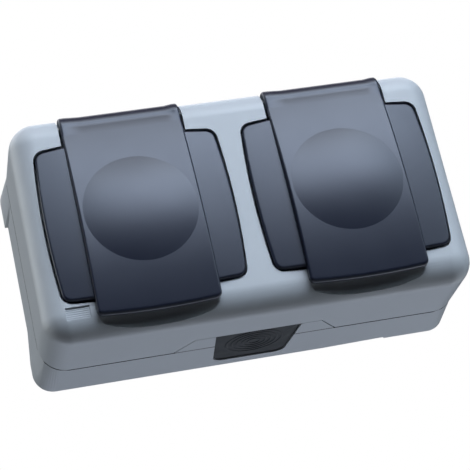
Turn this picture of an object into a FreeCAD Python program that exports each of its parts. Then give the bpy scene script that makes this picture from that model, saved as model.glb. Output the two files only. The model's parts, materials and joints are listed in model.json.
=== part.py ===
"""Two-gang weatherproof socket outlet for surface mounting, outdoors or in wet rooms.

Frame, in millimetres: the wall is the plane Y = 0 and the front looks along -Y. X runs to the
right and Z up. The origin lies on the wall, level with the centres of the two plug wells. The word
depth always means the distance in front of the wall, so a depth d lies at Y = -d.
"""
import FreeCAD, Part
import math
import os
import re

import Sketcher
from FreeCAD import Placement, Rotation, Vector

OUT = "parts"
NEAR = 1e-4

# Driving dimensions: alias, value, meaning
DIMENSIONS = [
    # Housing outline
    ("gang_pitch", 71.0, "centre to centre of the two plug wells"),
    ("side_margin", 38.1, "side of the housing outwards from the nearer well centre"),
    ("box_top", 39.3, "top face above the well centres"),
    ("box_bottom", 40.0, "underside below the well centres"),
    ("corner_round", 9.2, "corner radius seen from the front"),
    ("shell_wall", 2.4, "wall of box and cover"),
    ("parting_depth", 21.2, "depth of the joint between box and cover"),
    ("cover_depth", 53.3, "depth of the cover's front face"),
    ("cover_round", 8.5, "rounding of the cover's front edge"),
    ("fit_gap", 0.15, "clearance between moulded parts that fit together"),
    ("over", 1.0, "how far a cutting solid reaches past the surface that it cuts"),
    ("parting_gap", 0.25, "shadow gap between the box and the cover"),
    # Back box
    ("floor_wall", 2.5, "back wall of the box"),
    ("flare", 1.1, "how far the box's sides flare out at the wall, above and below their relief"),
    ("flare_round", 7.0, "corner radius of the flared sides"),
    ("relief_top", 23.0, "upper end of the sides' relief above the well centres"),
    ("relief_bottom", 17.0, "lower end of the sides' relief below the well centres"),
    ("relief_ramp", 12.0, "height over which the lower flare grows"),
    ("drain_start", 28.0, "where the drain notch in the rear edge starts, from the middle"),
    ("drain_end", 51.0, "where the drain notch ends"),
    ("drain_depth", 1.3, "depth of the drain notch at its end"),
    ("tab_depth", 31.0, "depth of the raised tab round the cable entry"),
    ("tab_half", 22.0, "half width of the tab at its crest"),
    ("tab_foot_half", 28.5, "half width of the tab at the parting line"),
    ("ledge_depth", 18.0, "depth of the sealing ledge inside the box"),
    ("ledge_width", 2.8, "width of the sealing ledge"),
    ("ledge_wall", 2.2, "thickness of the sealing ledge"),
    ("seal_height", 1.7, "height of the strip between box and cover"),
    ("skirt_wall", 2.0, "wall of the cover's inner skirt"),
    ("skirt_top", 35.0, "depth where the cover's inner skirt meets its wall"),
    # Cable entry
    ("entry_half", 15.0, "half width of the cable entry at the tab's crest"),
    ("entry_foot_half", 12.7, "half width of the cable entry next to the wall"),
    ("entry_foot_depth", 5.0, "depth where the cable entry starts"),
    ("entry_round", 4.0, "radius of the entry's two corners next to the wall"),
    ("membrane_inset", 0.5, "how far the membrane lies inside the underside"),
    ("membrane_flange", 1.6, "width of the membrane's inner flange"),
    ("membrane_gap", 0.05, "clearance of the membrane in its opening"),
    ("break_height", 7.0, "height of the room behind the membrane where ledge, strip and skirt stop"),
    ("membrane_back", 1.6, "thickness of the membrane's inner flange"),
    ("ring_depth", 19.5, "depth of the centre of the membrane's rings"),
    ("ring_first", 2.2, "radius of the smallest moulded ring"),
    ("ring_step", 1.9, "step from one moulded ring to the next"),
    ("ring_bead", 0.45, "bead radius of a moulded ring"),
    # Lid window of the cover
    ("window_half", 32.5, "half width of the window"),
    ("window_top", 28.2, "top of the window above the well centre"),
    ("window_bottom", 29.4, "bottom of the window below the well centre"),
    ("window_side_bow", 262.0, "radius of the window's bowed sides"),
    ("window_top_bow", 257.0, "radius of the window's bowed top"),
    ("window_bottom_bow", 512.0, "radius of the window's bowed bottom"),
    ("window_round", 4.0, "corner radius of the window"),
    ("recess_sink", 7.3, "floor of the lid recess behind the cover's front"),
    ("recess_wall", 2.2, "wall round and under the lid recess"),
    # Hinge
    ("pin_sink", 3.8, "hinge axis behind the cover's front"),
    ("pin_height", 34.5, "height of the hinge axis above the well centre"),
    ("pin_radius", 1.25, "hinge pin"),
    ("pin_fit", 0.02, "clearance of the pin in the cover's cheeks"),
    ("pin_run", 0.06, "running clearance of the pin in the lid"),
    ("barrel_radius", 4.23, "rounded end of the lid round the pin"),
    ("barrel_gap", 0.6, "gap between the lid's barrel and the cover"),
    ("strap_gap", 0.7, "gap beside the lid's strap in the cover's slot"),
    ("cheek_wall", 3.5, "cheek that holds an end of the hinge pin"),
    # Lid
    ("strap_half", 20.6, "half width of the lid's raised strap"),
    ("strap_rise", 4.5, "crown of the strap in front of the cover"),
    ("strap_crown", 212.0, "radius of the strap's front seen from the side"),
    ("strap_crown_drop", 10.0, "height of that crown below the well centre"),
    ("strap_bottom", 35.4, "lower edge of the strap below the well centre"),
    ("strap_bow", 263.0, "radius of the strap's bowed lower edge"),
    ("strap_round", 0.9, "rounding of the strap's long edges"),
    ("lip_round", 1.4, "rounding of the strap's lower edge"),
    ("strap_corner", 2.0, "corner radius of the strap's lower end"),
    ("knee_height", 30.4, "height where the strap's crowned front ends"),
    ("lip_gap", 0.7, "gap between the strap's lip and the cover's front"),
    ("lid_gap", 0.7, "gap between the lid's wings and the window"),
    ("wing_sink", 1.0, "back face of the wings behind the cover's front"),
    ("wing_rise", 2.9, "crown of the wings in front of the cover, on the lid's centre line"),
    ("wing_crown", 300.0, "radius of the wings' crown seen from above"),
    ("wing_crown_upright", 400.0, "radius of the wings' crown seen from the side"),
    ("wing_bulge", 100.0, "half axis along the depth of the ellipsoid that crowns the wings"),
    ("wing_round", 0.9, "rounding of the wings' outer edge"),
    ("lid_wall", 2.2, "wall of the lid"),
    ("lid_rim_sink", 2.3, "back edge of the lid's rim behind the cover's front"),
    ("lid_rim_inset", 0.5, "how far the lid's rim stands inside the edge of the wings"),
    ("lid_rim_wall", 1.8, "wall of the lid's rim"),
    ("dome_radius", 19.2, "radius of the dome on the strap"),
    ("dome_height", 1.25, "height of the dome"),
    # Plug well
    ("well_radius", 19.5, "inside radius of the plug well"),
    ("well_length", 17.5, "depth of the plug well"),
    ("rim_sink", 2.8, "front rim of the well behind the cover's front"),
    ("collar_radius", 24.0, "outside radius of the well's collar"),
    ("well_wall", 1.6, "wall of the well behind the collar"),
    ("well_floor", 2.4, "floor of the well"),
    ("face_flange_radius", 27.8, "flange of the well"),
    ("face_flange_wall", 2.2, "thickness of that flange"),
    ("face_seal_height", 1.6, "ring between flange and cover"),
    ("collar_gap", 0.3, "clearance of the collar in the cover"),
    ("contact_pitch", 19.0, "distance between the two plug pins"),
    ("contact_hole", 2.7, "radius of a pin hole"),
    ("guide_half", 2.6, "half width of the two guide ribs in the well"),
    ("guide_height", 2.0, "how far a guide rib stands into the well"),
    ("clip_half", 3.0, "half width of the earth strip"),
    ("clip_slot", 0.4, "clearance beside the earth strip"),
    ("strip", 0.8, "thickness of the earth strip"),
    ("clip_reach", 2.1, "how far an earth clip stands into the well"),
    ("clip_top", 3.3, "how far the earth clips end inside the rim"),
    ("clip_lead", 1.28, "how far the front end of an earth clip bends back from its belly"),
    ("clip_curl", 1.12, "how far the tail of an earth clip bends back from its belly"),
    ("clip_tail", 13.0, "how far the tail of an earth clip lies inside the rim"),
    ("earth_tab", 7.6, "length of the earth strip's terminal tab below its lower arm"),
    # Lid seal
    ("lid_seal_inner", 20.4, "inside radius of the lid's ring"),
    ("lid_seal_outer", 23.4, "outside radius of the lid's ring"),
    ("lid_seal_gap", 0.25, "gap between the lid's ring and the well's rim at rest"),
    ("seal_rib_wall", 0.9, "how far the lid's rib reaches past its ring on each side"),
    # Contact carrier and contacts
    ("carrier_half", 20.0, "half width and half height of the carrier"),
    ("carrier_back", 9.0, "depth of the carrier's back"),
    ("carrier_chamfer", 6.0, "corner chamfer of the carrier"),
    ("cell_inner", 5.0, "inner side of a contact cell from the centre line"),
    ("cell_outer", 18.6, "outer side of a contact cell from the centre line"),
    ("cell_top", 4.6, "top of a contact cell above the centre"),
    ("cell_bottom", 17.6, "bottom of a contact cell below the centre"),
    ("cell_floor", 12.5, "depth of a contact cell's floor"),
    ("sleeve_outer", 3.3, "outside radius of a contact sleeve"),
    ("sleeve_inner", 2.4, "inside radius of a contact sleeve"),
    ("sleeve_drop", 0.4, "how far a contact sleeve ends inside the carrier's front"),
    ("slit_start", 3.0, "how far above the cell's floor the slit of a contact sleeve starts"),
    ("brass_sheet", 1.0, "thickness of the contact sheet"),
    ("terminal_x", 14.6, "terminal block from the centre line"),
    ("terminal_z", 12.6, "terminal block below the centre"),
    ("terminal_half", 3.4, "half width of a terminal block"),
    ("terminal_height", 7.6, "length of a terminal block along the depth"),
    ("wire_hole", 1.7, "radius of a terminal's wire hole"),
    ("screw_radius", 1.5, "shank of the small machine screws"),
    ("screw_head", 2.6, "head of the small machine screws"),
    ("screw_head_height", 1.6, "head height of the small machine screws"),
    ("screw_fit", 0.03, "clearance of a screw in its thread"),
    ("carrier_screw_x", 14.0, "carrier screw from the centre line"),
    ("carrier_screw_z", 13.0, "carrier screw above the centre"),
    ("boss_radius", 4.0, "screw bosses of the box"),
    # Cover screws and wall slots
    ("cover_screw_x", 26.5, "cover screw outwards from the well centre"),
    ("cover_screw_z", 19.0, "cover screw above and below the well centre"),
    ("cover_screw_radius", 1.75, "shank of a cover screw"),
    ("cover_screw_head", 3.2, "head of a cover screw"),
    ("cover_screw_head_height", 2.0, "head height of a cover screw"),
    ("cover_screw_length", 20.0, "shank length of a cover screw"),
    ("boss_top", 38.0, "depth of the box bosses for the cover screws"),
    ("wall_slot_out", 27.5, "wall slots outwards from the well centre"),
    ("wall_slot_z", 29.5, "wall slots above and below the centre"),
    ("wall_slot_radius", 2.3, "half width of a wall slot"),
    ("wall_slot_length", 8.6, "length of a wall slot, end to end"),
    ("screw_slot", 0.45, "half width of the slot in a screw head"),
    ("screw_slot_cut", 0.8, "how deep that slot is cut"),
    ("carrier_screw_seat", 6.0, "seat of the carrier screws in front of the carrier's back"),
    ("carrier_screw_length", 10.5, "shank length of a carrier screw"),
    ("centre_screw_length", 11.0, "shank length of the centre screw"),
    ("terminal_screw_length", 4.4, "shank length of a terminal screw"),
    # Finger scoop and ribbed panel of the cover
    ("scoop_half", 21.0, "half width of a finger scoop"),
    ("scoop_reach", 6.5, "half depth of a finger scoop"),
    ("scoop_rise", 5.8, "half height of a finger scoop"),
    ("scoop_front", 1.2, "centre of the scoop in front of the cover's face"),
    ("scoop_drop", 35.5, "centre of the scoop below the well centre"),
    ("scoop_top", 31.4, "ceiling of the scoop below the well centre"),
    ("panel_out", 26.5, "centre of the ribbed panel outwards from the left well centre"),
    ("panel_z", 31.75, "centre of the ribbed panel below the well centres"),
    ("panel_width", 8.0, "width of the ribbed panel"),
    ("panel_height", 4.2, "height of the ribbed panel"),
    ("panel_sink", 0.7, "depth of the ribbed panel"),
    ("panel_rib", 0.3, "width and height of a rib on the panel"),
    ("panel_ribs", 5, "number of ribs on the panel"),
    # Spring
    ("wire", 0.35, "radius of the spring's wire"),
    ("coil_gap", 0.3, "clearance between the spring's coil and the pin"),
    ("coil_spacing", 1.15, "pitch of the spring's turns, in wire diameters"),
    ("coil_turns", 5.0, "turns of the spring"),
    ("spring_pocket", 4.0, "half length of the pocket for the spring"),
]

SIDES = (("left", -1), ("right", 1))

doc = FreeCAD.newDocument("weatherproof_socket")
sheet = doc.addObject("Spreadsheet::Sheet", "Sizes")
for row, (alias, value, meaning) in enumerate(DIMENSIONS, start=1):
    sheet.set(f"A{row}", alias)
    sheet.set(f"B{row}", str(value))
    sheet.set(f"C{row}", meaning)
    sheet.setAlias(f"B{row}", alias)
doc.recompute()
ALIASES = {alias for alias, _, _ in DIMENSIONS}

# Sizes that follow from the driving dimensions
DERIVED = {
    "box_width": "(gang_pitch + 2 * side_margin)",
    "recess_depth": "(cover_depth - recess_sink)",
    "pin_depth": "(cover_depth - pin_sink)",
    "strap_depth": "(cover_depth + strap_rise)",
    "wing_back": "(cover_depth - wing_sink)",
    "wing_crown_depth": "(cover_depth + wing_rise)",
    "lid_rim_depth": "(cover_depth - lid_rim_sink)",
    "rim_depth": "(cover_depth - rim_sink)",
    "wall_slot_x": "(gang_pitch / 2 + wall_slot_out)",
    "panel_x": "(gang_pitch / 2 + panel_out)",
}


def link(text):
    """Turn a formula in plain size names into one that reads the sheet."""
    def word(match):
        name = match[0]
        if name in DERIVED:
            return link(DERIVED[name])
        return f"Sizes.{name}" if name in ALIASES else name
    return re.sub(r"[a-z][a-z_]*", word, text)


def size(text):
    """Value of a formula in plain size names."""
    return float(sheet.evalExpression(link(text)))


# Solid primitives, each bound to the sheet

def span(name, kind, spans, props):
    """Box-like primitive between two formulas on each axis."""
    item = doc.addObject(kind, name)
    for prop, axis, (low, high) in zip(props, "xyz", spans):
        item.setExpression(prop, link(f"({high}) - ({low})"))
        item.setExpression(f"Placement.Base.{axis}", link(low))
    return item


def block(name, x, depth, z):
    """Box given by its ends along X, depth and Z."""
    back, front = depth
    return span(name, "Part::Box", (x, (f"-({front})", f"-({back})"), z), ("Length", "Width", "Height"))


def rod(name, radius, x, z, depth):
    """Cylinder along the depth, from the nearer to the farther depth."""
    item = doc.addObject("Part::Cylinder", name)
    item.Placement = Placement(Vector(), Rotation(Vector(1, 0, 0), 90))
    item.setExpression("Radius", link(radius))
    item.setExpression("Height", link(f"({depth[1]}) - ({depth[0]})"))
    item.setExpression("Placement.Base.x", link(x))
    item.setExpression("Placement.Base.y", link(f"-({depth[0]})"))
    item.setExpression("Placement.Base.z", link(z))
    return item


def axle(name, radius, x, depth, z):
    """Cylinder along X between two formulas."""
    item = doc.addObject("Part::Cylinder", name)
    item.Placement = Placement(Vector(), Rotation(Vector(0, 1, 0), 90))
    item.setExpression("Radius", link(radius))
    item.setExpression("Height", link(f"({x[1]}) - ({x[0]})"))
    item.setExpression("Placement.Base.x", link(x[0]))
    item.setExpression("Placement.Base.y", link(f"-({depth})"))
    item.setExpression("Placement.Base.z", link(z))
    return item


def post(name, radius, x, z, height):
    """Cylinder along Z, in the plane of the given depth formula z[0]."""
    item = doc.addObject("Part::Cylinder", name)
    item.setExpression("Radius", link(radius))
    item.setExpression("Height", link(f"({height[1]}) - ({height[0]})"))
    item.setExpression("Placement.Base.x", link(x))
    item.setExpression("Placement.Base.y", link(f"-({z})"))
    item.setExpression("Placement.Base.z", link(height[0]))
    return item


def fuse(name, *items):
    """Union of several objects."""
    item = doc.addObject("Part::MultiFuse", name)
    item.Shapes = list(items)
    return item


def common(name, *items):
    """Space shared by several objects."""
    item = doc.addObject("Part::MultiCommon", name)
    item.Shapes = list(items)
    return item


def cut(name, base, *tools):
    """Base without the tools."""
    item = doc.addObject("Part::Cut", name)
    item.Base = base
    item.Tool = tools[0] if len(tools) == 1 else fuse(f"{name}_tools", *tools)
    return item


def place(item, x):
    """Shift a finished object along X by a formula."""
    item.setExpression("Placement.Base.x", link(x))
    return item


def rounded(name, base, radius, picks):
    """Fillet on the edges of the base that the test picks."""
    doc.recompute()
    item = doc.addObject("Part::Fillet", name)
    item.Base = base
    value = size(radius)
    edges = enumerate(base.Shape.Edges, start=1)
    item.Edges = [(index, value, value) for index, edge in edges if picks(edge)]
    return item


def runs_along_depth(edge):
    """Whether an edge is a straight line along the depth."""
    ends = [v.Point for v in edge.Vertexes]
    return len(ends) == 2 and math.hypot(ends[0].x - ends[1].x, ends[0].z - ends[1].z) < NEAR


def lies_at_depth(low, high):
    """Test for edges that lie wholly between two depths."""
    return lambda edge: low - NEAR <= -edge.BoundBox.YMax and -edge.BoundBox.YMin <= high + NEAR


# Sketched bodies

def new_sketch(body, role, offset="0"):
    """Sketch on one of the body's own origin planes, moved along its normal."""
    sketch = body.newObject("Sketcher::SketchObject", f"{body.Name}_sketch")
    origin_plane = next(f for f in body.Origin.OriginFeatures if f.Role == role)
    sketch.AttachmentSupport = [(origin_plane, "")]
    sketch.MapMode = "FlatFace"
    if offset != "0":
        sketch.setExpression("AttachmentOffset.Base.z", link(offset))
    return sketch


def pin_point(sketch, geometry, end, point):
    """Hold one point of a sketch at two formulas."""
    for kind, axis, formula in (("DistanceX", -2, point[0]), ("DistanceY", -1, point[1])):
        if formula == "0":
            sketch.addConstraint(Sketcher.Constraint("PointOnObject", geometry, end, axis))
            continue
        number = sketch.addConstraint(
            Sketcher.Constraint(kind, -1, 1, geometry, end, size(formula)))
        sketch.setExpression(f"Constraints[{number}]", link(formula))


def polygon(sketch, points):
    """Closed run of straight lines whose corners are pairs of formulas."""
    corners = [Vector(size(a), size(b), 0) for a, b in points]
    first = sketch.GeometryCount
    count = len(corners)
    for i, corner in enumerate(corners):
        sketch.addGeometry(Part.LineSegment(corner, corners[(i + 1) % count]), False)
    for i, point in enumerate(points):
        sketch.addConstraint(
            Sketcher.Constraint("Coincident", first + i, 2, first + (i + 1) % count, 1))
        pin_point(sketch, first + i, 1, point)
    return sketch


def pad(body, sketch, length, midplane=False):
    """Extrusion of a sketch."""
    item = body.newObject("PartDesign::Pad", f"{body.Name}_pad")
    item.Profile = sketch
    item.setExpression("Length", link(length))
    item.Midplane = midplane
    return item


def prism(name, points, depth, radius=None):
    """Prism along the depth over a polygon in X and Z, its corners rounded if a radius is given."""
    body = doc.addObject("PartDesign::Body", name)
    sketch = polygon(new_sketch(body, "XZ_Plane", depth[0]), points)
    base = pad(body, sketch, f"({depth[1]}) - ({depth[0]})")
    if radius:
        dress(body, base, radius, runs_along_depth)
    return body


def dress(body, base, radius, picks):
    """Fillet inside a body on the edges that the test picks."""
    doc.recompute()
    item = body.newObject("PartDesign::Fillet", f"{body.Name}_round")
    item.Base = (base, [f"Edge{i}" for i, e in enumerate(base.Shape.Edges, start=1) if picks(e)])
    item.setExpression("Radius", link(radius))
    return item


def housing_prism(name, inset, depth, front_round=None):
    """Prism over the housing's outline, set in by a formula, with an optional rounded front edge."""
    half = f"box_width / 2 - ({inset})"
    top, bottom = f"box_top - ({inset})", f"({inset}) - box_bottom"
    points = [(f"-({half})", bottom), (half, bottom), (half, top), (f"-({half})", top)]
    body = prism(name, points, depth, f"corner_round - ({inset})")
    if front_round:
        front = size(depth[1])
        doc.recompute()
        dress(body, body.Tip, front_round, lies_at_depth(front, front))
    return body


def turned(name, profile, x="0", z="0"):
    """Solid of revolution about an axis along the depth; the profile is (depth, radius) formulas."""
    body = doc.addObject("PartDesign::Body", name)
    sketch = polygon(new_sketch(body, "YZ_Plane"), [(f"-({d})", r) for d, r in profile])
    item = body.newObject("PartDesign::Revolution", f"{name}_turn")
    item.Profile = sketch
    item.ReferenceAxis = (sketch, ["H_Axis"])
    item.Angle = 360
    body.setExpression("Placement.Base.x", link(x))
    body.setExpression("Placement.Base.z", link(z))
    return body


def ring(name, inner, outer, depth):
    """Flat ring about the gang's axis."""
    low, high = depth
    return turned(name, [(low, inner), (high, inner), (high, outer), (low, outer)])


def window_prism(name, inset, depth):
    """Prism over the outline of a lid window, set in by a formula: four shallow bows, round corners."""
    side, top, low = (f"{bow} - ({inset})" for bow in
                      ("window_side_bow", "window_top_bow", "window_bottom_bow"))
    bows = [
        rod(f"{name}_bow_left", side, "window_side_bow - window_half", "0", depth),
        rod(f"{name}_bow_right", side, "window_half - window_side_bow", "0", depth),
        rod(f"{name}_bow_top", top, "0", "window_top - window_top_bow", depth),
        rod(f"{name}_bow_low", low, "0", "window_bottom_bow - window_bottom", depth),
    ]
    outline = common(f"{name}_outline", *bows)
    return rounded(name, outline, f"window_round - ({inset})", runs_along_depth)


def finish(item, label):
    """Give a finished piece its own label, which names its file."""
    item.Label = label
    pieces.append(item)
    return item


pieces = []


# Housing

def entry_outline(grow):
    """Corners of the cable entry seen from below, as X and depth, grown by a formula."""
    return [
        (f"-entry_foot_half - ({grow})", f"entry_foot_depth - ({grow})"),
        (f"entry_foot_half + ({grow})", f"entry_foot_depth - ({grow})"),
        (f"entry_half + ({grow})", "tab_depth"),
        (f"-entry_half - ({grow})", "tab_depth"),
    ]


def entry_prism(name, grow, low, high):
    """Upright prism over the cable entry's outline between two heights."""
    body = doc.addObject("PartDesign::Body", name)
    points = [(x, f"-({depth})") for x, depth in entry_outline(grow)]
    sketch = polygon(new_sketch(body, "XY_Plane", low), points)
    base = pad(body, sketch, f"({high}) - ({low})")
    back = -size(f"entry_foot_depth - ({grow})")
    dress(body, base, f"entry_round + ({grow})",
          lambda e: e.BoundBox.YLength < NEAR and e.BoundBox.XLength < NEAR and e.BoundBox.YMin > back - NEAR)
    return body


def seal_break(name, low, high):
    """Space behind the membrane where ledge, strip and skirt stop."""
    half = "entry_half + membrane_flange + fit_gap"
    height = ("-box_bottom + shell_wall", "-box_bottom + break_height")
    return block(name, (f"-({half})", half), (low, high), height)


def tab_outline(gap, tail):
    """Corners of the box's raised tab seen from below, grown by a gap and with a tail into the box."""
    half = [(f"tab_foot_half + {gap}", f"{tail} - parting_depth"), (f"tab_foot_half + {gap}", "-parting_depth"),
            (f"tab_half + {gap}", f"-tab_depth - {gap}")]
    return [(f"-({x})", y) for x, y in half] + half[::-1]


def upright_prism(name, points, low, high):
    """Prism along the height over corners given as X and Y."""
    body = doc.addObject("PartDesign::Body", name)
    pad(body, polygon(new_sketch(body, "XY_Plane", low), points), f"({high}) - ({low})")
    return body


def side_flares():
    """Corners of the box that flare out towards the wall, with a relief between them on each side."""
    half = "box_width / 2"
    wide = f"{half} + flare"
    upper = [(f"-({wide})", "relief_top"), (wide, "relief_top"), (wide, "box_top"), (f"-({wide})", "box_top")]
    right = [(wide, "-box_bottom"), (wide, "-relief_bottom - relief_ramp"), (half, "-relief_bottom")]
    lower = right + [(f"-({x})", z) for x, z in right[::-1]]
    pads = []
    for name, points, outermost in (("upper", upper, "box_top"), ("lower", lower, "-box_bottom")):
        level = size(outermost)
        body = prism(f"flare_{name}", points, ("0", "parting_depth"))
        doc.recompute()
        dress(body, body.Tip, "flare_round",
              lambda e, level=level: runs_along_depth(e) and abs(e.BoundBox.ZMax - level) < NEAR)
        pads.append(body)
    taper = upright_prism("flare_taper", [(f"-({wide})", "0"), (wide, "0"), (half, "-parting_depth"),
                                          (f"-({half})", "-parting_depth")], "-box_bottom - over", "box_top + over")
    return common("side_flares", fuse("flare_pads", *pads), taper)


def make_back_box():
    """Box that screws to the wall, with a raised tab round the cable entry."""
    outer = housing_prism("box_outer", "0", ("0", "parting_depth"))
    tab = upright_prism("box_tab", tab_outline("0", "shell_wall"), "-box_bottom", "-box_bottom + shell_wall")
    cavity = housing_prism("box_cavity", "shell_wall", ("floor_wall", "parting_depth + over"))
    shell = cut("box_shell", fuse("box_flared", outer, side_flares()), cavity)
    ledge = cut("box_ledge",
                housing_prism("ledge_outer", "shell_wall / 2", ("ledge_depth - ledge_wall", "ledge_depth")),
                housing_prism("ledge_inner", "shell_wall + ledge_width",
                              ("ledge_depth - ledge_wall - over", "ledge_depth + over")))
    ledge = cut("box_ledge_open", ledge, seal_break("ledge_break", "ledge_depth - ledge_wall", "ledge_depth"))
    bosses, holes = [], []
    for side, sign in SIDES:
        centre = f"({sign} * gang_pitch / 2)"
        for level, up in (("upper", 1), ("lower", -1)):
            at = (f"{centre} + {sign} * cover_screw_x", f"{up} * cover_screw_z")
            bosses.append(rod(f"cover_boss_{side}_{level}", "boss_radius", *at, ("floor_wall / 2", "boss_top")))
            holes.append(rod(f"cover_boss_hole_{side}_{level}", "cover_screw_radius + screw_fit", *at,
                             ("boss_top - cover_screw_length", "boss_top + over")))
            slot_x = f"{sign} * wall_slot_x"
            half = "wall_slot_length / 2 - wall_slot_radius"
            slot_z = f"{up} * wall_slot_z"
            for end in ("-", "+"):
                holes.append(rod(f"wall_slot_{side}_{level}_{'ab'[end == '+']}", "wall_slot_radius",
                                 f"{slot_x} {end} ({half})", slot_z, ("-over", "floor_wall + over")))
            holes.append(block(f"wall_slot_{side}_{level}_mid", (f"{slot_x} - ({half})", f"{slot_x} + {half}"),
                               ("-over", "floor_wall + over"),
                               (f"{slot_z} - wall_slot_radius", f"{slot_z} + wall_slot_radius")))
        for place_name, way in (("a", -1), ("b", 1)):
            at = (f"{centre} + {way} * carrier_screw_x", "carrier_screw_z")
            bosses.append(rod(f"carrier_boss_{side}_{place_name}", "boss_radius", *at,
                              ("floor_wall / 2", "carrier_back")))
            holes.append(rod(f"carrier_boss_hole_{side}_{place_name}", "screw_radius + screw_fit", *at,
                             ("floor_wall", "carrier_back + over")))
    body = fuse("box_body", shell, tab, ledge, *bosses)
    entry = entry_prism("box_entry", "0", "-box_bottom - over", "-box_bottom + shell_wall + over")
    drain = upright_prism("drain_notch", [("drain_start", "0"), ("drain_end", "-drain_depth"), ("drain_end", "over")],
                          "-box_bottom - over", "-box_bottom + shell_wall")
    return finish(cut("back_box", body, entry, drain, *holes), "back_box")


COVER_BACK = "parting_depth + parting_gap"
HEAD_SEAT = "recess_depth - cover_screw_head_height"
SKIRT_INNER = "shell_wall + fit_gap + skirt_wall"
SEAL_FRONT = "ledge_depth + seal_height"
SLOT_HALF = "strap_half + strap_gap"
HINGE_HALF = "strap_half + strap_gap + cheek_wall"
SLOT_RADIUS = "barrel_radius + barrel_gap"
FLANGE_FRONT = "recess_depth - recess_wall - face_seal_height"
WELL_FLOOR = "rim_depth - well_length"
WELL_BACK = "rim_depth - well_length - well_floor"
CARRIER_FRONT = "rim_depth - well_length - well_floor - strip"
LIP_BACK = "cover_depth + lip_gap"
RIM_OUTER = "lid_gap + lid_rim_inset"
RIM_INNER = "lid_gap + lid_rim_inset + lid_rim_wall"


def ellipsoid(name, halves, x, depth, z):
    """Ellipsoid from its half axes along the height, the width and the depth."""
    item = doc.addObject("Part::Ellipsoid", name)
    for index, half in enumerate(halves, start=1):
        item.setExpression(f"Radius{index}", link(half))
    item.setExpression("Placement.Base.x", link(x))
    item.setExpression("Placement.Base.y", link(f"-({depth})"))
    item.setExpression("Placement.Base.z", link(z))
    item.Placement.Rotation = Rotation()
    return item


def make_front_cover():
    """Cover with two lid recesses, hinge slots, finger scoops and a ribbed panel."""
    envelope = housing_prism("cover_outer", "0", (COVER_BACK, "cover_depth"), "cover_round")
    cavity = housing_prism("cover_cavity", "shell_wall", ("parting_depth - over", "cover_depth - shell_wall"),
                           "cover_round - shell_wall")
    skirt = cut("skirt",
                fuse("skirt_outer",
                     housing_prism("skirt_high", "shell_wall / 2", (COVER_BACK, "skirt_top")),
                     housing_prism("skirt_low", "shell_wall + fit_gap", (SEAL_FRONT, "parting_depth + over"))),
                housing_prism("skirt_inner", SKIRT_INNER, (f"{SEAL_FRONT} - over", "skirt_top + over")),
                seal_break("skirt_break", f"{SEAL_FRONT} - over", "skirt_top + over"))
    notch = upright_prism("tab_notch", tab_outline("parting_gap", "shell_wall"), "-box_bottom - over",
                          "-box_bottom + shell_wall + fit_gap")
    added, removed = [skirt], []
    for side, sign in SIDES:
        centre = f"({sign} * gang_pitch / 2)"
        added.append(place(window_prism(f"tub_{side}", "-recess_wall",
                                        ("recess_depth - recess_wall", "cover_depth - shell_wall / 2")), centre))
        removed.append(place(window_prism(f"recess_{side}", "0", ("recess_depth", "cover_depth + over")), centre))
        removed.append(rod(f"collar_hole_{side}", "collar_radius + collar_gap", centre, "0",
                           ("recess_depth - recess_wall - over", "recess_depth + over")))
        hinge_back = f"pin_depth - ({SLOT_RADIUS}) - recess_wall"
        added.append(block(f"hinge_block_{side}", (f"{centre} - ({HINGE_HALF})", f"{centre} + {HINGE_HALF}"),
                           (hinge_back, "cover_depth"), ("face_flange_radius + collar_gap", "box_top")))
        across = (f"{centre} - ({SLOT_HALF})", f"{centre} + {SLOT_HALF}")
        removed.append(axle(f"slot_round_{side}", SLOT_RADIUS, across, "pin_depth", "pin_height"))
        removed.append(block(f"slot_front_{side}", across, ("pin_depth", "cover_depth + over"),
                             ("window_top - 2 * over", "box_top + over")))
        removed.append(block(f"slot_top_{side}", across, (f"pin_depth - ({SLOT_RADIUS})", "cover_depth + over"),
                             ("pin_height", "box_top + over")))
        removed.append(axle(f"pin_hole_{side}", "pin_radius + pin_fit",
                            (f"{centre} - ({HINGE_HALF}) - over", f"{centre} + {HINGE_HALF} + over"),
                            "pin_depth", "pin_height"))
        scoop = (centre, "cover_depth + scoop_front", "-scoop_drop")
        halves = ("scoop_rise", "scoop_half", "scoop_reach")
        added.append(ellipsoid(f"scoop_wall_{side}", [f"{half} + shell_wall" for half in halves], *scoop))
        room = block(f"scoop_room_{side}", (f"{centre} - scoop_half", f"{centre} + scoop_half"),
                     ("cover_depth - scoop_reach", "cover_depth + over"), ("-scoop_drop - scoop_rise", "-scoop_top"))
        removed.append(common(f"scoop_{side}", ellipsoid(f"scoop_bowl_{side}", halves, *scoop), room))
        for level, up in (("upper", 1), ("lower", -1)):
            at = (f"{centre} + {sign} * cover_screw_x", f"{up} * cover_screw_z")
            added.append(rod(f"screw_sleeve_{side}_{level}", "boss_radius", *at,
                             ("boss_top + fit_gap", "recess_depth - recess_wall / 2")))
            removed.append(rod(f"screw_seat_{side}_{level}", "cover_screw_head + 2 * fit_gap", *at,
                               (HEAD_SEAT, "recess_depth + over")))
            removed.append(rod(f"screw_way_{side}_{level}", "cover_screw_radius + fit_gap", *at,
                               ("boss_top - over", "recess_depth")))
    panel = block("panel_pocket", ("-panel_x - panel_width / 2", "-panel_x + panel_width / 2"),
                  ("cover_depth - panel_sink", "cover_depth + over"),
                  ("-panel_z - panel_height / 2", "-panel_z + panel_height / 2"))
    inner = common("cover_inner", envelope, fuse("cover_added", *added))
    shell = cut("cover_shell", envelope, cavity)
    body = fuse("cover_body", shell, inner, housing_ring_below())
    body = cut("cover_cut", body, notch, panel, *removed)
    return finish(fuse("front_cover", body, *panel_ribs()), "front_cover")


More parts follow.
